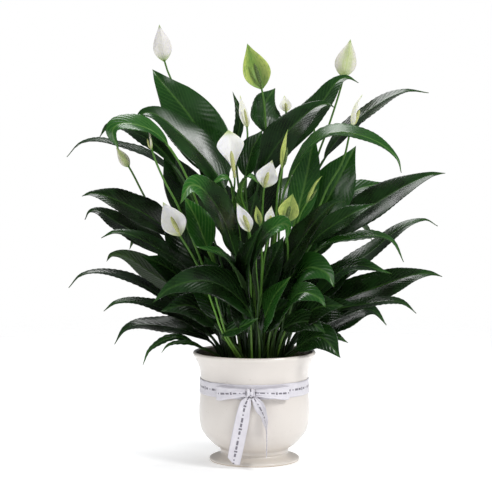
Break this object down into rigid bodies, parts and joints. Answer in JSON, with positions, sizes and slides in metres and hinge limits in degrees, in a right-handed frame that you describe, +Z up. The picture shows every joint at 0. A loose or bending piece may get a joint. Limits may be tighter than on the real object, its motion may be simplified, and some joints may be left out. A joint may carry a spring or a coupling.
{
  "type": "potted peace lily",
  "caption": "Flowering peace lily with arching leaves and white hooded flowers, in a footed ceramic planter tied with a ribbon bow.",
  "frame": {"origin": "middle of the planter's underside, on the surface it stands on", "axes": "+Z up the planter's axis, -Y towards the front, where the bow is, +X to the right seen from the front"},
  "size_m": [0.5934, 0.4289, 0.6832],
  "materials": {
    "glaze": "satin",
    "black_plastic": "matte",
    "potting_mix": "matte",
    "moss": "matte",
    "ribbon": "satin",
    "leaf": "satin",
    "spathe_white": "satin",
    "spathe_green": "satin"
  },
  "bodies": {
    "root": {"planter": "glaze", "grow_pot": "black_plastic", "potting_mix": "potting_mix", "moss_collar": "moss", "ribbon_band": "ribbon", "ribbon_knot": "ribbon", "ribbon_loop_left": "ribbon", "ribbon_loop_right": "ribbon", "ribbon_tail_left": "ribbon", "ribbon_tail_right": "ribbon", "leaf_01": "leaf", "leaf_02": "leaf", "leaf_03": "leaf", "leaf_04": "leaf", "leaf_05": "leaf", "leaf_06": "leaf", "leaf_07": "leaf", "leaf_08": "leaf", "leaf_09": "leaf", "leaf_10": "leaf", "leaf_11": "leaf", "leaf_12": "leaf", "leaf_13": "leaf", "leaf_14": "leaf", "leaf_15": "leaf", "leaf_16": "leaf", "leaf_17": "leaf", "leaf_18": "leaf", "leaf_19": "leaf", "leaf_20": "leaf", "leaf_21": "leaf", "leaf_22": "leaf", "leaf_23": "leaf", "leaf_24": "leaf", "leaf_25": "leaf", "leaf_26": "leaf", "leaf_27": "leaf", "leaf_28": "leaf", "leaf_29": "leaf", "leaf_30": "leaf", "leaf_31": "leaf", "leaf_32": "leaf", "leaf_33": "leaf", "leaf_34": "leaf", "leaf_35": "leaf", "leaf_36": "leaf", "leaf_37": "leaf", "leaf_38": "leaf", "flower_01": "spathe_white", "flower_02": "spathe_green", "flower_03": "spathe_white", "flower_04": "spathe_white", "flower_05": "spathe_white", "flower_06": "spathe_white", "flower_07": "spathe_white", "flower_08": "spathe_white", "flower_09": "spathe_white", "flower_10": "spathe_white", "flower_11": "spathe_green", "flower_12": "spathe_green"}
  },
  "joints": []
}
